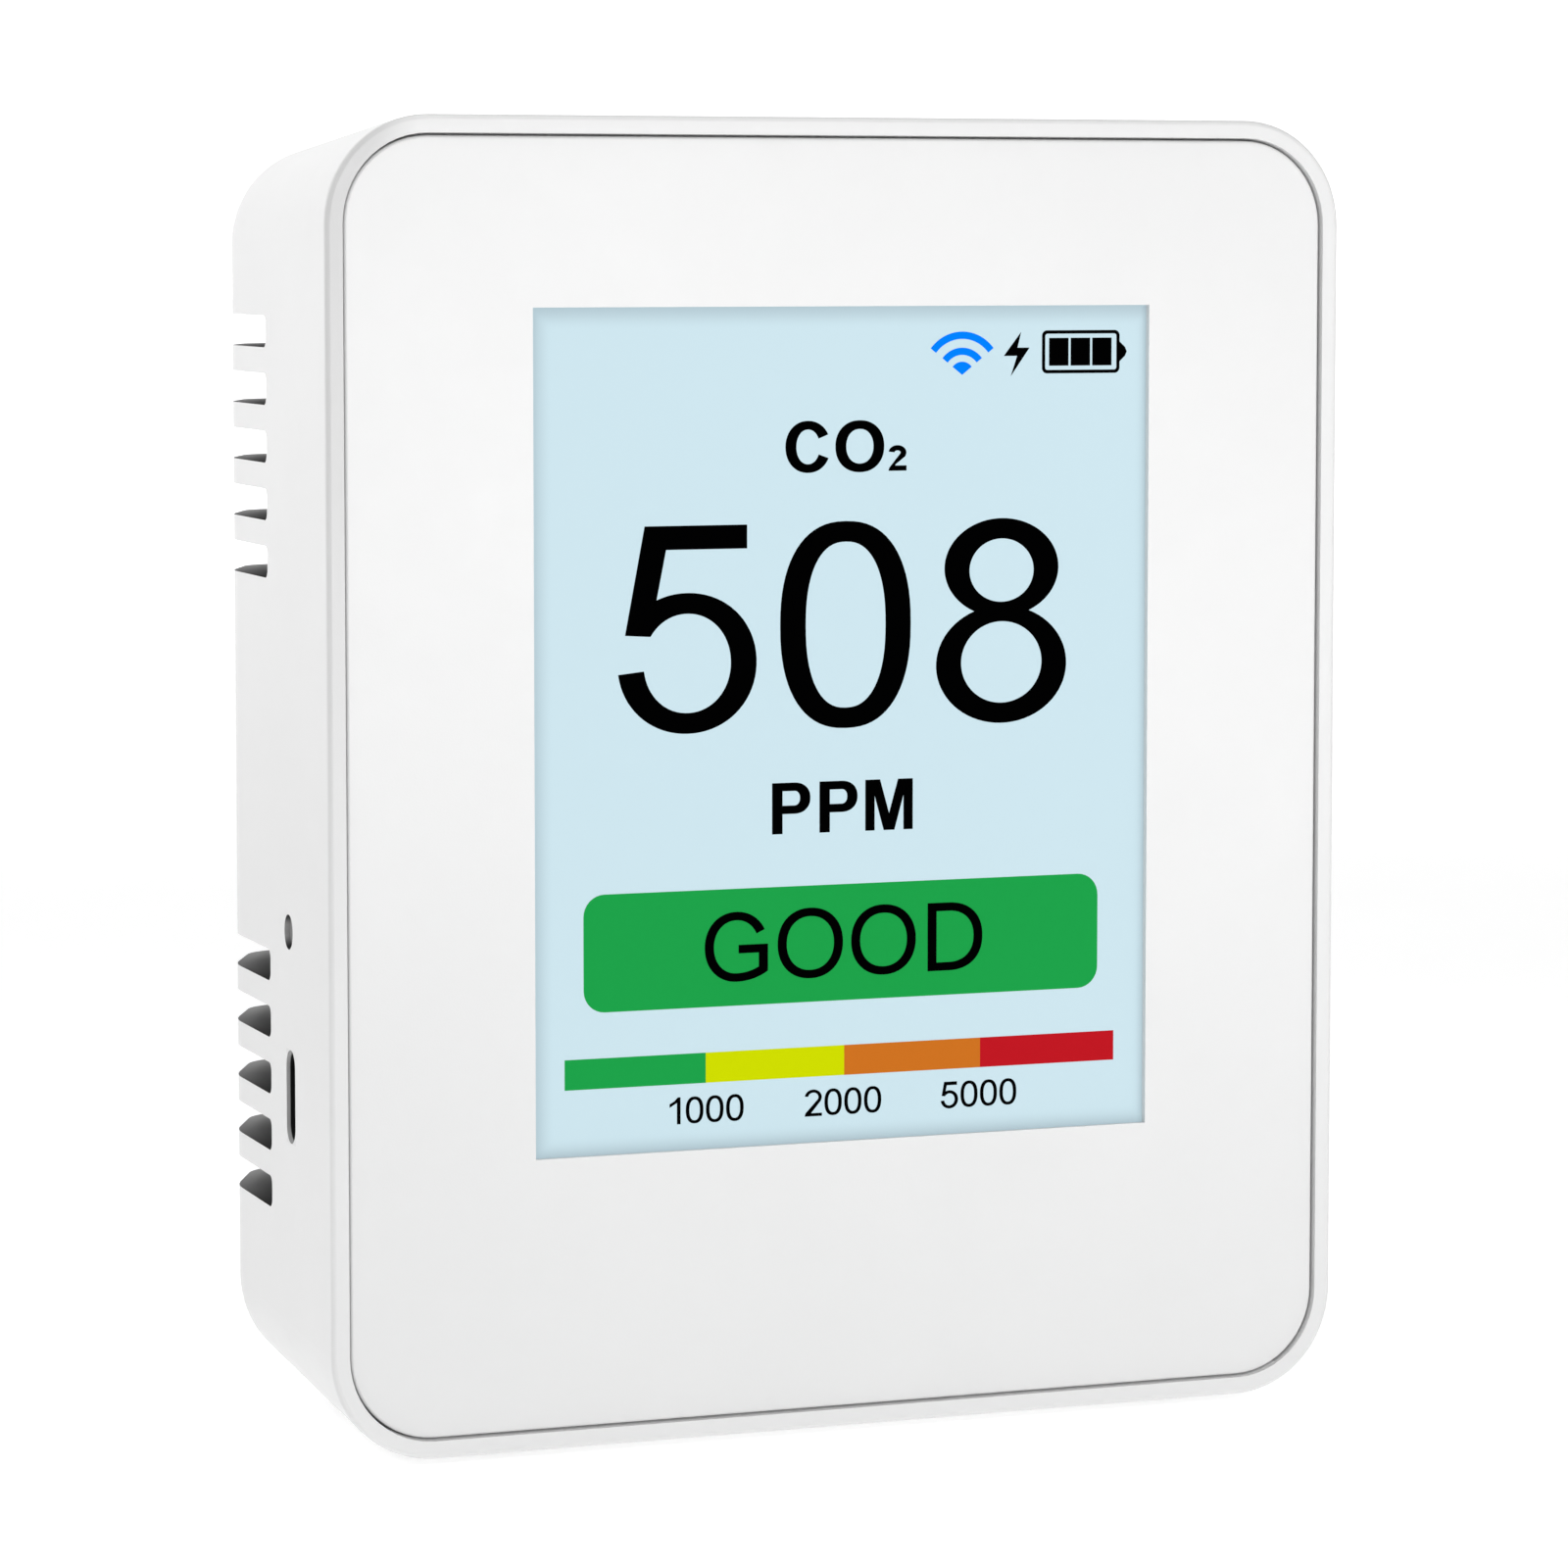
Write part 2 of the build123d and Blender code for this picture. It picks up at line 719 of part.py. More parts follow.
with BuildPart() as rubber_feet:
    for behind, top in foot_rows:
        with BuildSketch(Plane.XY):
            with Locations((-foot_across, front_y + behind), (foot_across, front_y + behind)):
                Circle(foot_radius)
        extrude(amount=top)
    fillet(rubber_feet.faces().sort_by(Axis.Z)[:4].edges(), foot_round)
save(rubber_feet, "rubber_feet")
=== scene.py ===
"""Looks of the carbon dioxide monitor: camera, studio, materials and the display's readout.

Lengths are metres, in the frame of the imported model: +Z up, the display facing -Y.
"""
import json
from math import acos, atan2, copysign, cos, degrees, radians, sin, sqrt

import bmesh
import bpy
from mathutils import Matrix, Vector
from mathutils.geometry import tessellate_polygon


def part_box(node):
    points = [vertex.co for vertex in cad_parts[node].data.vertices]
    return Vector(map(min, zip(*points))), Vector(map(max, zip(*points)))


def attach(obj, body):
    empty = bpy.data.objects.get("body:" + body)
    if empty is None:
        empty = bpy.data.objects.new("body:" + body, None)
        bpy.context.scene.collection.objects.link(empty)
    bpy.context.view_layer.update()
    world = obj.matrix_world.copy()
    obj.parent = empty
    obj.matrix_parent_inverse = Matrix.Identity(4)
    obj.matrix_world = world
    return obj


MM = 0.001
HOUSING = "housing"

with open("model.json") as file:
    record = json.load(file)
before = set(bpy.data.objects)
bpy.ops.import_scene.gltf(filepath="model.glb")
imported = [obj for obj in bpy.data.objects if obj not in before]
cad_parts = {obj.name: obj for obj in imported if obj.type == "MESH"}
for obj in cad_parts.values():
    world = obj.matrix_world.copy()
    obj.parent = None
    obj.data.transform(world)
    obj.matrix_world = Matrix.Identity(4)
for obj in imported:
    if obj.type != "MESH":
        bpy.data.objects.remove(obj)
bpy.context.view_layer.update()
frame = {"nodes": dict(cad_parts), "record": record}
scene = bpy.context.scene
nodes = frame["nodes"]

case_low, case_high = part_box("rear_housing")
face_low, face_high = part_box("lcd_polariser")
front_y = case_low.y
mid_z = (case_low.z + case_high.z) / 2


# ---- Node helpers ---------------------------------------------------------------------------


class Shader:
    """A material's node tree with short calls for the nodes used here."""

    def __init__(self, name):
        self.material = bpy.data.materials.new(name)
        self.material.use_nodes = True
        self.tree = self.material.node_tree
        self.surface = self.tree.nodes["Principled BSDF"]

    def node(self, kind, **settings):
        made = self.tree.nodes.new(kind)
        for key, value in settings.items():
            setattr(made, key, value)
        return made

    def link(self, source, target):
        self.tree.links.new(source, target)

    def feed(self, socket, value):
        if isinstance(value, bpy.types.NodeSocket):
            self.link(value, socket)
        else:
            socket.default_value = value

    def math(self, operation, *values):
        made = self.node("ShaderNodeMath", operation=operation)
        for socket, value in zip(made.inputs, values):
            self.feed(socket, value)
        return made.outputs[0]

    def ramp(self, value, low, high, to_low=0.0, to_high=1.0):
        """Goes smoothly from one number to another as a value goes from low to high."""
        made = self.node("ShaderNodeMapRange", interpolation_type="SMOOTHSTEP")
        for key, number in (("Value", value), ("From Min", low), ("From Max", high)):
            self.feed(made.inputs[key], number)
        made.inputs["To Min"].default_value = to_low
        made.inputs["To Max"].default_value = to_high
        return made.outputs[0]

    def above(self, value, limit):
        """1 where a value is over a limit, 0 elsewhere."""
        return self.math("GREATER_THAN", value, limit)

    def below(self, value, limit):
        """1 where a value is under a limit, 0 elsewhere."""
        return self.math("LESS_THAN", value, limit)

    def away(self, value, middle=0.0):
        """How far a value is from a middle one, to either side."""
        return self.math("ABSOLUTE", self.math("SUBTRACT", value, middle))

    def both(self, *masks):
        """1 where every mask is 1."""
        product = masks[0]
        for mask in masks[1:]:
            product = self.math("MULTIPLY", product, mask)
        return product

    def either(self, *masks):
        """1 where any mask is 1."""
        most = masks[0]
        for mask in masks[1:]:
            most = self.math("MAXIMUM", most, mask)
        return most

    def coordinates(self, kind):
        """Separated x, y and z of one of the texture coordinates."""
        parts = self.node("ShaderNodeSeparateXYZ")
        self.link(self.node("ShaderNodeTexCoord").outputs[kind], parts.inputs[0])
        return parts.outputs

    def place(self):
        """Where a point of the piece is, in metres."""
        return self.coordinates("Object")

    def facing(self):
        """Which way the surface faces."""
        return self.coordinates("Normal")

    def noise(self, scale, detail=3.0, stretch=None):
        made = self.node("ShaderNodeTexNoise")
        made.inputs["Scale"].default_value = scale
        made.inputs["Detail"].default_value = detail
        made.inputs["Roughness"].default_value = 0.55
        where = self.node("ShaderNodeTexCoord").outputs["Object"]
        if stretch:
            mapping = self.node("ShaderNodeMapping")
            mapping.inputs["Scale"].default_value = stretch
            self.link(where, mapping.inputs["Vector"])
            where = mapping.outputs[0]
        self.link(where, made.inputs["Vector"])
        return made.outputs["Fac"]

    def blend(self, factor, first, second):
        made = self.node("ShaderNodeMix", data_type="RGBA")
        self.feed(made.inputs["Factor"], factor)
        self.feed(made.inputs["A"], first)
        self.feed(made.inputs["B"], second)
        return made.outputs["Result"]

    def colour(self, value):
        self.feed(self.surface.inputs["Base Color"], value)

    def rough(self, value):
        self.feed(self.surface.inputs["Roughness"], value)

    def bump(self, height, strength, distance):
        made = self.node("ShaderNodeBump")
        made.inputs["Strength"].default_value = strength
        made.inputs["Distance"].default_value = distance
        self.link(height, made.inputs["Height"])
        self.link(made.outputs[0], self.surface.inputs["Normal"])


def linear(red, green, blue):
    """Scene colour of a screen colour given in 0 to 255."""
    return tuple(((c / 255 + 0.055) / 1.055) ** 2.4 for c in (red, green, blue)) + (1.0,)


def grey(value):
    return (value, value, value, 1.0)


def dimmed(colour, share):
    """A share of a colour, with its opacity kept."""
    return tuple(share * c for c in colour[:3]) + (1.0,)


def grained(
    name, colour, roughness, grain=5000.0, depth=0.012 * MM, spread=0.04, wear=0.04, metallic=0.0
):
    """A moulded, coated or metal surface: slow changes of tone and roughness, and a fine grain.

    Spread is how much darker the darkest tone is. Wear is how far the roughness strays either way.
    """
    shader = Shader(name)
    darker = dimmed(colour, 1 - spread)
    tone = shader.ramp(shader.noise(60.0), 0.35, 0.65)
    shader.colour(shader.blend(tone, darker, colour))
    shader.rough(shader.ramp(shader.noise(350.0), 0.3, 0.7, roughness - wear, roughness + wear))
    shader.surface.inputs["Metallic"].default_value = metallic
    shader.bump(shader.noise(grain, detail=2.0), 0.5, depth)
    return shader


# ---- Materials ------------------------------------------------------------------------------

WHITE = grey(0.70)
RIM_WHITE = grey(0.69)
# The second rim tone is the grey of the rim's painted shade at its upper left.
RIM_PAINTED_SHADE = grey(0.55)
WHITE_WEAR = 0.008

# A surface is level, or square on to an axis, where it faces that way at least this much.
LEVEL = 0.7
SQUARE_ON = 0.9

SLOT_START = front_y + 24.5 * MM  # the vent slots run from here to the back
SLOT_INSIDE = 41.0 * MM  # and lie farther from the middle than this
SLOT_INNER_ENDS = 42.5 * MM  # their inner ends lie nearer to it than this
SLOT_UP = 50.0 * MM  # no slot is farther than this from mid height
BACK = case_high.y

# The openings in the left side: where each is along the case and up, and its size.
LEFT_SKIN = -49.0 * MM  # the side is farther left than this
PORT_Y = front_y + 16.18 * MM
PORT_Z = mid_z - 31.1 * MM
PORT_HALF_WIDTH = 1.82 * MM
PORT_HALF_HEIGHT = 4.67 * MM
PORT_MOUTH = -51.9 * MM
HOLE_Y = front_y + 16.7 * MM
HOLE_Z = mid_z - 14.8 * MM
HOLE_RADIUS = 1.74 * MM

RIM_DEPTH = 0.4 * MM  # the rim's tone reaches this far back
GAP_END = 2.6 * MM  # and the gap round the plate this far
GAP_LOW = 1.2 * MM  # its lowest stretch lies between these two heights over the underside
GAP_HIGH = 3.0 * MM


def slot_walls(shader, place):
    """The walls of the vent slots: level sides and ledges, front ends and inner ends."""
    x, y, z = place
    across, back, up = shader.facing()
    level = shader.above(shader.away(up), LEVEL)
    front_ends = shader.both(shader.above(back, SQUARE_ON), shader.below(y, SLOT_START + 1.0 * MM))
    inner_ends = shader.both(
        shader.above(shader.away(across), SQUARE_ON),
        shader.below(shader.away(x), SLOT_INNER_ENDS),
    )
    return shader.both(
        shader.either(level, front_ends, inner_ends),
        shader.above(y, SLOT_START - 0.6 * MM),
        shader.above(shader.away(x), SLOT_INSIDE),
        shader.below(shader.away(z, mid_z), SLOT_UP),
    )


def port_painted_shade(shader, place, tone):
    """Painted shade in the charging port's opening: its lip painted a light grey and its throat
    black.
    """
    x, y, z = place
    across = shader.math("DIVIDE", shader.away(y, PORT_Y), PORT_HALF_WIDTH)
    upward = shader.math("DIVIDE", shader.away(z, PORT_Z), PORT_HALF_HEIGHT)
    inside = shader.below(shader.either(across, upward), 1.0)
    # Painted shade: the opening's wall goes from light grey at the lip to black deeper in.
    throat = shader.ramp(x, PORT_MOUTH - 0.45 * MM, PORT_MOUTH - 0.3 * MM)
    wall = shader.blend(throat, grey(0.62), grey(0.005))
    return shader.blend(shader.both(inside, shader.below(x, LEFT_SKIN)), tone, wall)


def hole_painted_shade(shader, place, tone):
    """Wall of the reset button's hole, with painted shade: grey half way up and nearly black above
    and below.
    """
    x, y, z = place
    across = shader.math("POWER", shader.math("SUBTRACT", y, HOLE_Y), 2.0)
    upward = shader.math("POWER", shader.math("SUBTRACT", z, HOLE_Z), 2.0)
    inside = shader.below(shader.math("ADD", across, upward), HOLE_RADIUS**2)
    # Painted shade: the hole's wall darkens from grey at mid height to nearly black above and below.
    turned = shader.ramp(shader.away(z, HOLE_Z), 0.3 * MM, 1.6 * MM)
    wall = shader.blend(turned, grey(0.5), grey(0.02))
    return shader.blend(shader.both(inside, shader.below(x, LEFT_SKIN)), tone, wall)


def rim_tone(shader, place, tone):
    """The front rim, with painted shade that greys it towards its upper left, and painted light that
    whitens the low gap under the plate.
    """
    x, y, z = place
    at_rim = shader.ramp(y, front_y + 0.15 * MM, front_y + RIM_DEPTH, 1.0, 0.0)
    at_left = shader.ramp(x, -50 * MM, -44 * MM, 1.0, 0.0)
    high_up = shader.ramp(z, mid_z - 45 * MM, mid_z + 60 * MM)
    # Painted shade: the rim is painted greyer towards its upper left.
    rim = shader.blend(shader.both(at_left, high_up), RIM_WHITE, RIM_PAINTED_SHADE)
    tone = shader.blend(at_rim, tone, rim)
    # Painted light: the low stretch of the gap under the plate is painted a lighter white than the
    # housing, to lift the shade in it.
    gap_painted_light = shader.both(
        shader.above(y, front_y + RIM_DEPTH),
        shader.below(y, front_y + GAP_END),
        shader.above(z, case_low.z + GAP_LOW),
        shader.below(z, case_low.z + GAP_HIGH),
    )
    return shader.blend(gap_painted_light, tone, grey(0.95))


def housing_material():
    """Satin white plastic, with painted shade in the vent slots, the two openings and the rim's upper
    left, and painted light in the low gap.
    """
    shader = grained("housing_white", WHITE, 0.36, spread=0.012, wear=WHITE_WEAR)
    tone = shader.surface.inputs["Base Color"].links[0].from_socket
    gloss = shader.surface.inputs["Roughness"].links[0].from_socket
    place = shader.place()
    in_slot = slot_walls(shader, place)
    # Painted shade: the vent slots' walls are painted dark grey, nearly black towards their front
    # ends and lighter towards the back.
    depth = shader.ramp(place[1], SLOT_START + 2 * MM, BACK)
    tone = shader.blend(in_slot, tone, shader.blend(depth, grey(0.006), grey(0.36)))
    shader.rough(shader.either(gloss, in_slot))
    for part_tone in (port_painted_shade, hole_painted_shade, rim_tone):
        tone = part_tone(shader, place, tone)
    shader.colour(tone)
    return shader.material


# Each material slot's colour and roughness, and where it differs from grained's usual values.
PLAIN_FINISHES = {
    "gasket_foam": ((0.012, 0.012, 0.013, 1), 0.8, {"grain": 2500, "depth": 0.05 * MM}),
    "light_guide": ((0.85, 0.87, 0.88, 1), 0.3, {}),
    "sheet_steel": ((0.62, 0.62, 0.63, 1), 0.32, {"metallic": 1.0}),
    "flex_amber": ((0.50, 0.20, 0.03, 1), 0.35, {}),
    "connector_cream": ((0.72, 0.66, 0.52, 1), 0.5, {}),
    "connector_black": ((0.02, 0.02, 0.021, 1), 0.45, {}),
    # The port's steel shell is painted nearly black: painted shade for its place deep in the opening.
    "port_steel": ((0.02, 0.02, 0.021, 1), 0.55, {"metallic": 0.4}),
    "button_grey": ((0.16, 0.16, 0.16, 1), 0.45, {}),
    "gold_plate": ((0.83, 0.58, 0.22, 1), 0.25, {"metallic": 1.0}),
    "filter_white": ((0.80, 0.80, 0.78, 1), 0.9, {"grain": 3500, "depth": 0.08 * MM}),
    "chip_black": ((0.018, 0.018, 0.02, 1), 0.55, {"grain": 7000}),
    "can_aluminium": ((0.75, 0.76, 0.77, 1), 0.28, {"metallic": 1.0}),
    "ferrite_grey": ((0.07, 0.07, 0.075, 1), 0.7, {"grain": 4000, "depth": 0.03 * MM}),
    "pouch_silver": (
        (0.66, 0.67, 0.69, 1), 0.3, {"grain": 900, "depth": 0.12 * MM, "metallic": 1.0}
    ),
    "lead_red": ((0.50, 0.012, 0.012, 1), 0.4, {}),
    "lead_black": ((0.012, 0.012, 0.012, 1), 0.4, {}),
    "screw_steel": ((0.16, 0.16, 0.165, 1), 0.34, {"metallic": 1.0}),
    "foot_rubber": ((0.035, 0.035, 0.037, 1), 0.75, {"grain": 2500, "depth": 0.04 * MM}),
}


def slot_materials():
    """One finished material for each of the record's slots."""
    plate = grained("plate_white", WHITE, 0.34, spread=0.01, wear=WHITE_WEAR)
    made = {
        "housing_white": housing_material(),
        "plate_white": plate.material,
        "board_green": board_material(),
        "display_glass": glass_material(),
        "display_face": display_material(),
    }
    for name, (colour, roughness, extra) in PLAIN_FINISHES.items():
        made[name] = grained(name, colour, roughness, **extra).material
    return made


def board_material():
    """Green solder mask with a faint weave under it."""
    shader = Shader("board_green")
    weave = shader.noise(900.0, stretch=(1.0, 1.0, 6.0))
    mask = (0.010, 0.115, 0.045, 1.0)
    light = (0.020, 0.160, 0.065, 1.0)
    shader.colour(shader.blend(shader.ramp(weave, 0.35, 0.65), mask, light))
    shader.rough(0.28)
    shader.bump(weave, 0.3, 0.01 * MM)
    return shader.material


def glass_material():
    """Clear cell glass with a slightly green body."""
    shader = Shader("display_glass")
    smear = shader.ramp(shader.noise(120.0), 0.4, 0.7, 0.04, 0.09)
    shader.colour((0.80, 0.88, 0.86, 1.0))
    shader.rough(smear)
    shader.surface.inputs["Transmission Weight"].default_value = 0.85
    return shader.material


WINDOW = (65.8 * MM, 82.8 * MM)
window_middle = (face_low + face_high) / 2
SCREEN_BLUE = linear(205, 229, 238)
SCREEN_SHADE = linear(176, 197, 206)
SCREEN_SURFACE = 0.33  # share of the screen's colour that its surface has, beside its own light
EDGE_SHADOW = 0.9 * MM  # the plate already shades this much at the right, and less at the bottom
EDGE_ROUNDING = 0.8 * MM


def display_material():
    """Pale blue display face, lit from inside, in soft shade along the window's four edges."""
    shader = Shader("display_face")
    x, _, z = shader.place()
    left = shader.math("SUBTRACT", x, window_middle.x - WINDOW[0] / 2)
    right = shader.math("SUBTRACT", window_middle.x + WINDOW[0] / 2 + EDGE_SHADOW, x)
    top = shader.math("SUBTRACT", window_middle.z + WINDOW[1] / 2, z)
    bottom = shader.math("SUBTRACT", z, window_middle.z - WINDOW[1] / 2 - 0.4 * EDGE_SHADOW)
    to_side = shader.math("SMOOTH_MIN", left, right, EDGE_ROUNDING)
    to_end = shader.math("SMOOTH_MIN", top, bottom, EDGE_ROUNDING)
    nearest = shader.math("SMOOTH_MIN", to_side, to_end, EDGE_ROUNDING)
    lit = shader.ramp(nearest, -0.6 * MM, 2.2 * MM)
    surface = [dimmed(tone, SCREEN_SURFACE) for tone in (SCREEN_SHADE, SCREEN_BLUE)]
    shader.colour(shader.blend(lit, *surface))
    glow = shader.blend(lit, SCREEN_SHADE, SCREEN_BLUE)
    shader.link(glow, shader.surface.inputs["Emission Color"])
    shader.surface.inputs["Emission Strength"].default_value = 0.62
    shader.rough(0.5)
    shader.surface.inputs["Specular IOR Level"].default_value = 0.1
    shader.bump(shader.noise(9000.0, detail=1.0), 0.25, 0.004 * MM)
    return shader.material


def ink_material(name, colour):
    """A display mark: about half of its colour is matt ink and half the light behind it."""
    shader = Shader(name)
    tone = shader.blend(shader.noise(7000.0, detail=1.0), dimmed(colour, 0.48), dimmed(colour, 0.5))
    shader.colour(tone)
    shader.link(tone, shader.surface.inputs["Emission Color"])
    shader.surface.inputs["Emission Strength"].default_value = 0.95
    shader.rough(0.8)
    shader.surface.inputs["Specular IOR Level"].default_value = 0.0
    return shader.material


# ---- Flat marks on the display ---------------------------------------------------------------
# A mark is a list of shapes, and a shape is an outline with its holes, in millimetres, x to the right
# and y up. A letter or digit takes its width, its height, and how thick its upright and level
# strokes are.


def arc(cx, cy, rx, ry, start, end, power=2.0, steps=40):
    """Points along an oval between two angles in degrees. A power over 2 squares it off."""
    points = []
    for i in range(steps + 1):
        angle = radians(start + (end - start) * i / steps)
        c = cos(angle)
        s = sin(angle)
        x = cx + rx * copysign(abs(c) ** (2 / power), c)
        y = cy + ry * copysign(abs(s) ** (2 / power), s)
        points.append((x, y))
    return points


def oval(cx, cy, rx, ry, power=2.0, steps=72):
    return arc(cx, cy, rx, ry, 0, 360 * (1 - 1 / steps), power, steps - 1)


def rounded(x0, y0, x1, y1, r):
    """A rectangle with round corners."""
    left, right, low, high = x0 + r, x1 - r, y0 + r, y1 - r
    corners = ((right, low, -90), (right, high, 0), (left, high, 90), (left, low, 180))
    return [p for cx, cy, start in corners for p in arc(cx, cy, r, r, start, start + 90, steps=8)]


def letter_o(w, h, stem, bar, power=2.15):
    ring = oval(w / 2, h / 2, w / 2, h / 2, power)
    hole = oval(w / 2, h / 2, w / 2 - stem, h / 2 - bar, power)
    return [[ring, hole]]


def letter_c(w, h, stem, bar):
    cx = 0.52 * w
    cy = h / 2
    upper_end, lower_end = 27, 335
    outer = arc(cx, cy, cx, cy, upper_end, lower_end, 2.1)
    inner = arc(cx, cy, cx - stem, cy - bar, lower_end, upper_end, 2.1)
    return [[outer + inner]]


def letter_g(w, h, stem, bar):
    """Open ring with a tongue. Its lower right quarter is wider, to run into the short upright."""
    cx = w / 2
    cy = h / 2
    wide = 0.72 * w
    wide_inside = 0.566 * w
    outer_end = 360 - degrees(acos(cx / wide))
    inner_end = 360 - degrees(acos((cx - stem) / wide_inside))
    outer = arc(cx, cy, cx, cy, 27, 270, 2.1)[:-1] + arc(cx, cy, wide, cy, 270, outer_end)
    tongue_top = 0.525 * h
    tongue_tip = 0.535 * w
    tongue = [(w, tongue_top), (tongue_tip, tongue_top)]
    tongue += [(tongue_tip, tongue_top - bar), (w - stem, tongue_top - bar)]
    inner = arc(cx, cy, wide_inside, cy - bar, inner_end, 270)[:-1]
    inner += arc(cx, cy, cx - stem, cy - bar, 270, 27, 2.1)
    return [[outer + tongue + inner]]


def letter_d(w, h, stem, bar):
    bowl = 0.62 * w
    cx = w - bowl
    cy = h / 2
    outer = [(0, h), (0, 0)] + arc(cx, cy, bowl, cy, -90, 90, 2.25)
    hole = [(stem, h - bar), (stem, bar)] + arc(cx, cy, bowl - stem, cy - bar, -90, 90, 2.25)
    return [[outer, hole]]


def letter_p(w, h, stem, bar):
    bowl_low = 0.39 * h
    bowl_w = 0.42 * w
    bowl_h = (h - bowl_low) / 2
    cx = w - bowl_w
    cy = h - bowl_h
    outer = [(0, h), (0, 0), (stem, 0), (stem, bowl_low)]
    outer += arc(cx, cy, bowl_w, bowl_h, -90, 90, 2.2)
    hole = [(stem, h - bar), (stem, bowl_low + bar)]
    hole += arc(cx, cy, bowl_w - stem, bowl_h - bar, -90, 90, 2.2)
    return [[outer, hole]]


def letter_m(w, h, stem, foot):
    """Foot is the width of the point in the middle."""
    shoulder = 0.31 * w
    notch = 0.33 * h
    inside = 0.69 * h
    left = [(0, 0), (stem, 0), (stem, inside), (w / 2 - foot / 2, 0)]
    right = [(w - x, y) for x, y in reversed(left)]
    top = [(w, h), (w - shoulder, h), (w / 2, notch), (shoulder, h), (0, h)]
    return [[left + right + top]]


def digit_0(w, h, stem, bar):
    return letter_o(w, h, stem, bar, power=2.35)


def digit_1(w, h, stem, bar):
    flag_y = 0.76 * h
    upright = [(w - stem, 0), (w, 0), (w, h), (w - 0.75 * stem, h)]
    flag = [(0.45 * w, 0.86 * h), (0, flag_y), (0, flag_y - 1.15 * bar), (w - stem, 0.80 * h)]
    return [[upright + flag]]


def digit_2(w, h, stem, bar):
    crown = 0.29 * h
    cy = h - crown
    outer = arc(w / 2, cy, 0.49 * w, crown, 172, -34)
    inner = arc(w / 2, cy, w / 2 - stem, crown - bar, -30, 172)
    slope = [(0.40 * w, 1.25 * bar), (0.37 * w, bar)]
    foot = [(w, bar), (w, 0), (0, 0), (0.05 * w, 0.12 * h)]
    return [[outer + slope + foot + inner]]


def digit_5(w, h, stem, bar):
    """Flag, sloping stem and open bowl. The bowl starts where the stem's inner edge meets it."""
    bowl_w = 0.51 * w
    bowl_h = 0.343 * h
    cx = w - bowl_w
    cy = 0.33 * h
    flag_tip = 0.93 * w
    flag_low = h - 1.15 * bar
    tail = -172.5
    flag = [(0.035 * w, 0.472 * h), (0.179 * w, h), (flag_tip, h), (flag_tip, flag_low)]
    flag += [(0.335 * w, flag_low), (0.255 * w, 0.607 * h)]
    outer = arc(cx, cy, bowl_w, bowl_h, 119, tail, 2.05, 60)
    inner = arc(cx, cy, bowl_w - stem, bowl_h - bar, tail, 147, 2.05, 60)
    return [[flag + outer + inner]]


def digit_8(w, h, stem, bar):
    """Two ovals that cross at the waist, each with its hole. Halving finds where they cross."""
    cx = w / 2
    top = (0.437 * w, 0.2405 * h)
    low = (0.5 * w, 0.2875 * h)
    top_y = h - top[1]
    low_y = low[1]
    down = 0.0
    rise = 90.0
    for _ in range(40):
        angle = (down + rise) / 2
        y = low_y + low[1] * sin(radians(angle))
        reach = 1 - ((y - top_y) / top[1]) ** 2
        if reach > 0 and top[0] * sqrt(reach) > low[0] * cos(radians(angle)):
            rise = angle
        else:
            down = angle
    waist_y = low_y + low[1] * sin(radians(down))
    waist_x = low[0] * cos(radians(down))
    top_angle = degrees(atan2((waist_y - top_y) / top[1], waist_x / top[0]))
    outer = arc(cx, top_y, top[0], top[1], top_angle, 180 - top_angle, steps=60)
    outer += arc(cx, low_y, low[0], low[1], 180 - down, 360 + down, steps=60)
    top_hole_h = 0.1545 * h
    low_hole_h = 0.199 * h
    top_hole = oval(cx, h - bar - top_hole_h, top[0] - stem, top_hole_h)
    low_hole = oval(cx, bar + low_hole_h, low[0] - stem, low_hole_h)
    return [[outer, top_hole, low_hole]]


DIGITS = {"0": digit_0, "1": digit_1, "2": digit_2, "5": digit_5, "8": digit_8}


def moved(shapes, dx, dy):
    return [[[(x + dx, y + dy) for x, y in loop] for loop in shape] for shape in shapes]


INK_DEPTH = 0.03 * MM
ROW_SCALE = 0.99  # heights down the readout are drawn at this scale
ROW_DROP = 0.2  # and this many millimetres lower
window_left = window_middle.x - WINDOW[0] / 2
window_top = window_middle.z + WINDOW[1] / 2
window_corner = Vector((window_left, face_low.y, window_top))


def mark(name, shapes, material):
    """Makes one thin raised piece on the display, in millimetres from the window's top left."""
    mesh = bpy.data.meshes.new(name)
    form = bmesh.new()
    for loops in shapes:
        flat = [[Vector((x, y, 0)) for x, y in loop] for loop in loops]
        rings = []
        for depth in (0.0, INK_DEPTH):
            ring = []
            for loop in flat:
                spots = [(p.x * MM, -depth, (p.y * ROW_SCALE - ROW_DROP) * MM) for p in loop]
                ring.append([form.verts.new(window_corner + Vector(spot)) for spot in spots])
            rings.append(ring)
        for ring in rings:
            corners = [v for loop in ring for v in loop]
            for triangle in tessellate_polygon(flat):
                form.faces.new([corners[i] for i in triangle])
        for back, front in zip(*rings):
            for i, vert in enumerate(back):
                form.faces.new((vert, back[i - 1], front[i - 1], front[i]))
    bmesh.ops.recalc_face_normals(form, faces=form.faces)
    form.to_mesh(mesh)
    form.free()
    piece = bpy.data.objects.new(name, mesh)
    scene.collection.objects.link(piece)
    mesh.materials.append(material)
    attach(piece, HOUSING)
    return piece


def row(text, left, baseline, size, stroke, advance):
    """A line of digits: size is a digit's width and height, stroke its stem and bar."""
    shapes = []
    for i, letter in enumerate(text):
        width = size[0] * (0.62 if letter == "1" else 1.0)
        indent = 0.6 * (size[0] - width)
        digit = DIGITS[letter](width, size[1], *stroke)
        shapes += moved(digit, left + i * advance + indent, baseline)
    return shapes


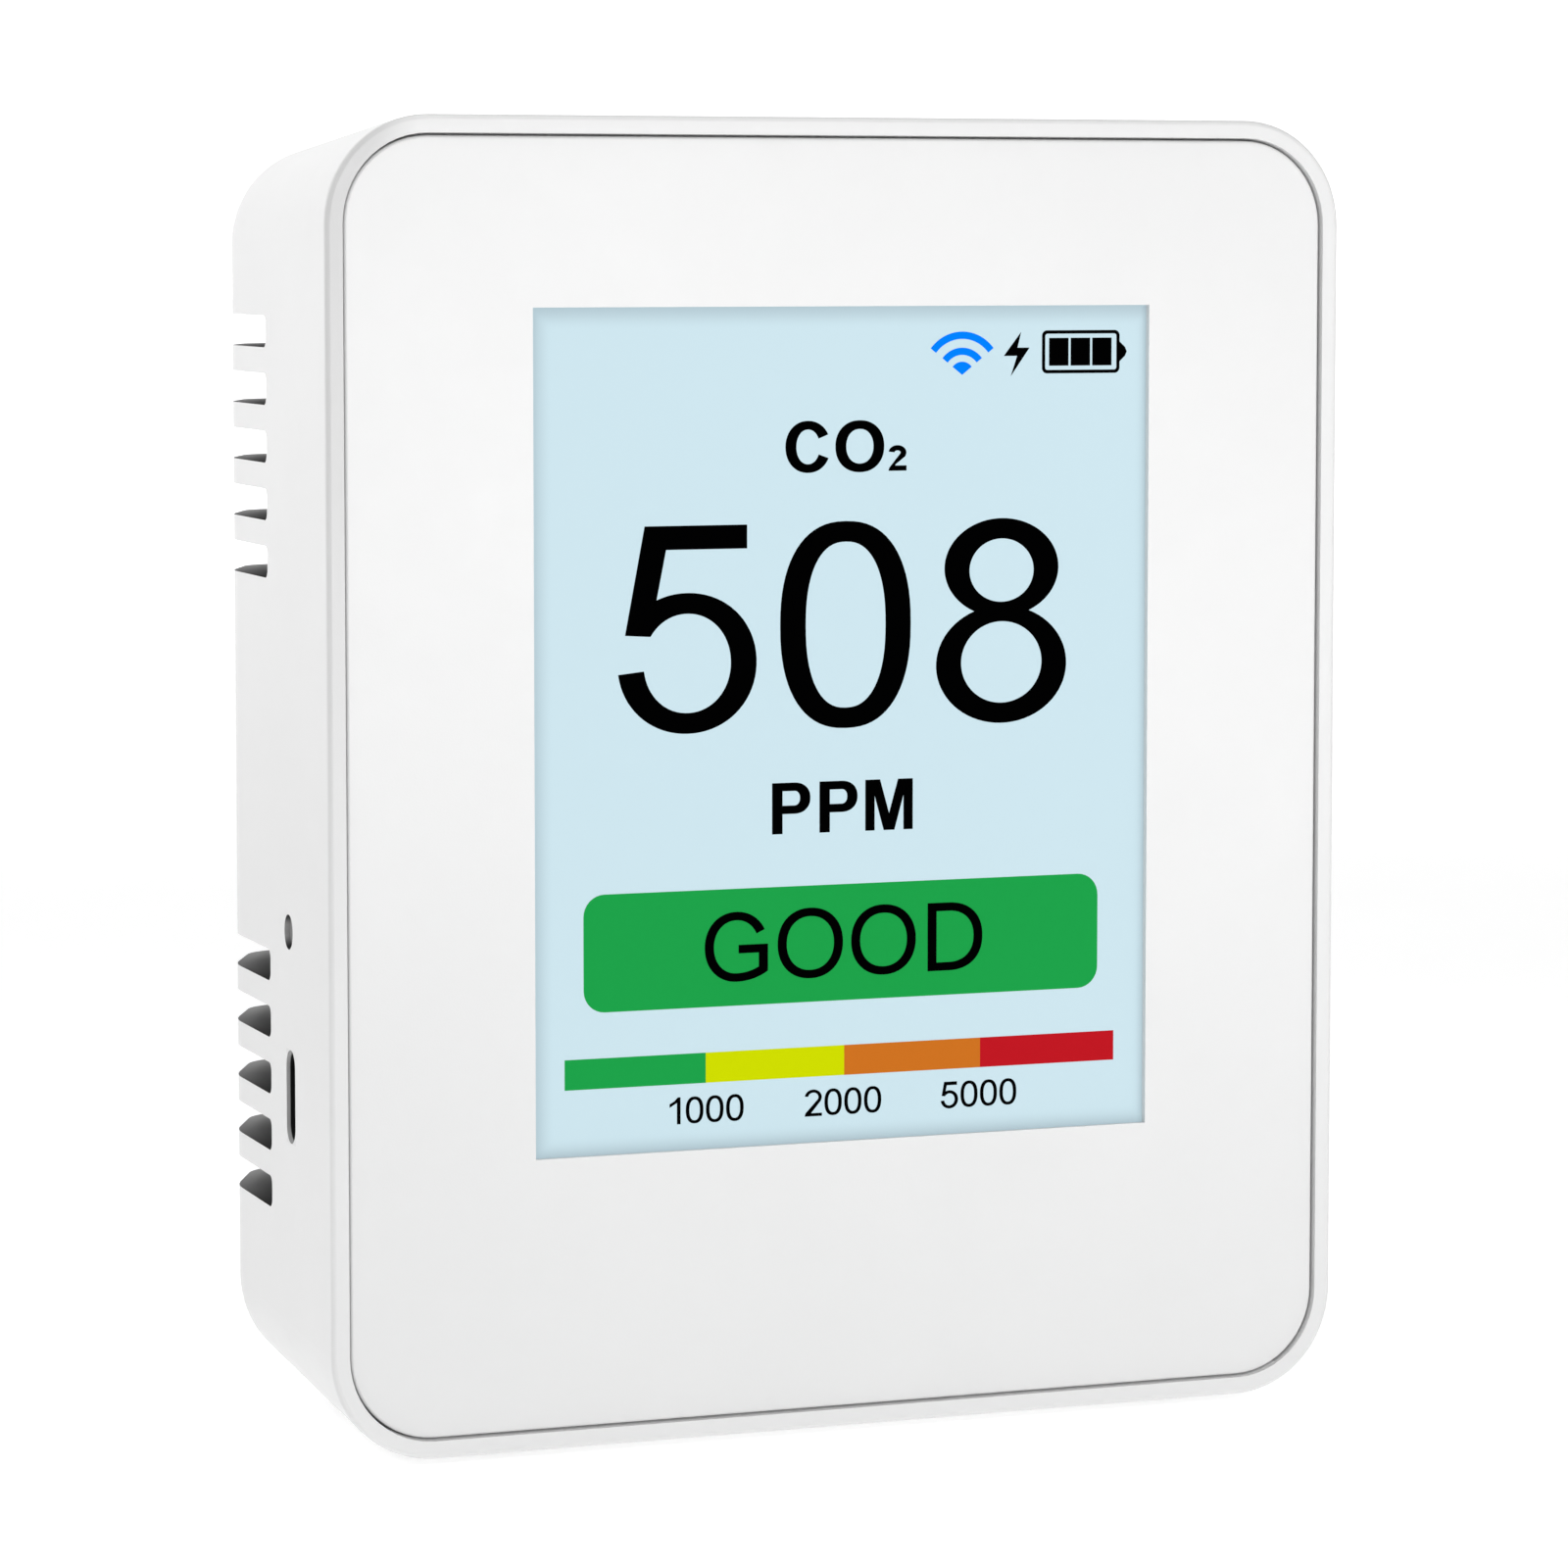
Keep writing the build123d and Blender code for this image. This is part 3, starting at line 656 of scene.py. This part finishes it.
def build_readout():
    """Every mark on the display, placed in millimetres from the window's top left corner."""
    black = ink_material("ink_black", (0.0005, 0.0005, 0.0006, 1.0))
    green = ink_material("ink_green", linear(30, 160, 73))
    yellow = ink_material("ink_yellow", linear(205, 218, 0))
    orange = ink_material("ink_orange", linear(204, 113, 34))
    red = ink_material("ink_red", linear(190, 25, 35))
    blue = ink_material("ink_blue", linear(0, 128, 255))

    bold = (1.15, 0.86)
    height, baseline = 5.17, -16.31
    gas = moved(letter_c(4.62, height, *bold), 26.62, baseline)
    gas += moved(letter_o(5.23, height, *bold), 31.95, baseline)
    gas += moved(digit_2(1.95, 2.55, 0.64, 0.52), 37.64, -16.22)
    mark("readout_gas", gas, black)

    figure = (2.72, 2.05)
    height, baseline = 20.7, -41.86
    value = moved(digit_5(14.34, 20.33, *figure), 9.21, -41.65)
    value += moved(digit_0(14.02, height, *figure), 26.06, baseline)
    value += moved(digit_8(14.28, height, *figure), 42.84, baseline)
    mark("readout_value", value, black)

    height, baseline = 5.12, -52.27
    letter = letter_p(4.08, height, 1.1, 0.83)
    unit = moved(letter, 25.20, baseline) + moved(letter, 30.27, baseline)
    unit += moved(letter_m(5.13, height, 1.0, 1.15), 35.20, baseline)
    mark("readout_unit", unit, black)

    mark("status_panel", [[rounded(5.30, -69.26, 60.72, -57.55, 2.2)]], green)
    light = (0.96, 0.84)
    letter = letter_o(7.0, 7.1, *light)
    word = moved(letter_g(6.71, 7.0, *light), 18.02, -66.86)
    word += moved(letter, 25.78, -66.88) + moved(letter, 33.68, -66.88)
    word += moved(letter_d(5.98, 6.9, *light), 41.98, -66.78)
    label = mark("status_word", word, black)
    label.data.transform(Matrix.Translation((0, -INK_DEPTH, 0)))  # it lies on the panel

    start, step = 3.29, 14.82
    low, high = -76.84, -73.82
    scale = (("green", green), ("yellow", yellow), ("orange", orange), ("red", red))
    for i, (name, ink) in enumerate(scale):
        x = start + i * step
        mark(f"scale_{name}", [[[(x, low), (x + step, low), (x + step, high), (x, high)]]], ink)

    numbers = []
    half_row, baseline, advance = 4.25, -80.85, 2.14
    for i, text in enumerate(("1000", "2000", "5000")):
        left = start + (i + 1) * step - half_row
        numbers += row(text, left, baseline, (1.86, 2.7), (0.37, 0.31), advance)
    mark("scale_numbers", numbers, black)

    tip = (45.60, -6.72)
    start, end = 38, 142
    waves = [[[tip] + arc(*tip, 1.32, 1.32, start, end, steps=12)]]
    for inner, outer in ((2.0, 2.72), (3.6, 4.33)):
        waves.append([arc(*tip, outer, outer, start, end) + arc(*tip, inner, inner, end, start)])
    mark("icon_signal", waves, blue)

    bolt = [(1.87, 0), (1.48, -1.56), (2.8, -1.56), (0.77, -4.4), (1.45, -2.38), (0, -2.38)]
    mark("icon_charge", moved([[bolt]], 50.15, -2.48), black)

    left, top, right, bottom = 54.33, -2.32, 62.89, -6.65
    line = 0.34
    outline = rounded(left, bottom, right, top, 0.55)
    hollow = rounded(left + line, bottom + line, right - line, top - line, 0.25)
    shell = [[outline, hollow]]
    middle = (top + bottom) / 2
    nub = [(right, middle - 1.0), (right + 0.6, middle - 0.45), (right + 0.8, middle)]
    nub += [(right + 0.6, middle + 0.45), (right, middle + 1.0)]
    cells = []
    low, high = middle - 1.4, middle + 1.4
    for i in range(3):
        x0 = left + 0.78 + i * 2.38
        x1 = x0 + 2.13
        cells.append([[(x0, low), (x1, low), (x1, high), (x0, high)]])
    mark("icon_battery", shell + [[nub]] + cells, black)


# ---- Studio ----------------------------------------------------------------------------------

# The paper's own light grows from the first glow to the second between these two distances.
GLOW_NEAR_FAR = (0.25, 1.5)
GLOW = (0.42, 0.75)
WORLD_LIGHT = 0.34

# Each soft light's name, place, width and height, and power in watts. All face the object's middle.
LIGHTS = (
    ("front", (0.10, -0.45, 0.09), (0.12, 0.12), 0.46),
    ("right", (0.26, -0.44, 0.045), (0.10, 0.12), 0.30),
    ("shoulder", (-0.25, 0.0, 0.30), (0.06, 0.25), 0.32),
    ("top", (0.0, -0.20, 0.50), (0.40, 0.30), 0.60),
)
LIT_POINT = (0.0, 0.0, 0.065)

# The camera's place and lens are in millimetres, and how far it tilts down and turns in degrees.
VIEWPOINT = (-232.2, -570.2, 118.3)
TILT = 5.15
TURN = 22.45
LENS = 138.1
SENSOR = 36.0


def stage_material():
    """White paper that shines a little, so the ground stays white up to the object."""
    shader = Shader("studio_paper")
    tone = shader.ramp(shader.noise(8.0), 0.3, 0.7)
    shader.colour(shader.blend(tone, grey(0.88), grey(0.90)))
    shader.rough(0.9)
    shader.surface.inputs["Specular IOR Level"].default_value = 0.1
    shader.surface.inputs["Emission Color"].default_value = grey(1.0)
    x, y, _ = shader.place()
    squares = shader.math("ADD", shader.math("POWER", x, 2.0), shader.math("POWER", y, 2.0))
    glow = shader.ramp(shader.math("SQRT", squares), *GLOW_NEAR_FAR, *GLOW)
    shader.link(glow, shader.surface.inputs["Emission Strength"])
    return shader.material


def build_floor():
    """A wide sheet of paper that curves up far behind the object."""
    reach, bend, rise, half_width = 3.0, 1.0, 4.0, 5.0
    steps = 12
    profile = [(-reach, 0.0), (reach - bend, 0.0)]
    for i in range(1, steps + 1):
        angle = radians(90 * i / steps)
        profile.append((reach - bend + bend * sin(angle), bend - bend * cos(angle)))
    profile.append((reach, rise))
    form = bmesh.new()
    rows = [[form.verts.new((x, y, z)) for y, z in profile] for x in (-half_width, half_width)]
    for i in range(len(profile) - 1):
        form.faces.new((rows[0][i], rows[1][i], rows[1][i + 1], rows[0][i + 1]))
    mesh = bpy.data.meshes.new("studio_sweep")
    form.to_mesh(mesh)
    form.free()
    mesh.shade_smooth()
    mesh.materials.append(stage_material())
    sweep = bpy.data.objects.new("studio_sweep", mesh)
    scene.collection.objects.link(sweep)


def soft_light(name, place, size, power):
    light = bpy.data.lights.new(name, "AREA")
    light.shape = "RECTANGLE"
    light.size, light.size_y = size
    light.energy = power
    lamp = bpy.data.objects.new(name, light)
    scene.collection.objects.link(lamp)
    lamp.location = place
    lamp.visible_camera = False
    lamp.rotation_mode = "QUATERNION"
    lamp.rotation_quaternion = (Vector(LIT_POINT) - Vector(place)).to_track_quat("-Z", "Y")


def build_studio():
    """White surroundings, four soft lights and plain screen colours."""
    world = bpy.data.worlds.new("studio")
    scene.world = world
    world.use_nodes = True
    backdrop = world.node_tree.nodes["Background"]
    backdrop.inputs["Color"].default_value = grey(1.0)
    backdrop.inputs["Strength"].default_value = WORLD_LIGHT
    for light in LIGHTS:
        soft_light(*light)
    scene.view_settings.view_transform = "Standard"


def build_camera():
    """A long lens in front and to the left, near the top's height and tilted down."""
    data = bpy.data.cameras.new("camera")
    camera = bpy.data.objects.new("camera", data)
    scene.collection.objects.link(camera)
    data.sensor_width = SENSOR
    data.lens = LENS
    camera.location = Vector(VIEWPOINT) * MM
    camera.rotation_euler = (radians(90 - TILT), 0.0, -radians(TURN))
    scene.camera = camera


# ---- Put the finishes on the CAD nodes ---------------------------------------------------------


def finish_nodes():
    """Gives each node the finish of its own slot."""
    finishes = slot_materials()
    slots = {s["node"]: s["material_slot"] for s in frame["record"]["subparts"]}
    for name, node in nodes.items():
        node.data.materials.clear()
        node.data.materials.append(finishes[slots[name]])


build_camera()
build_studio()
build_floor()
finish_nodes()
build_readout()
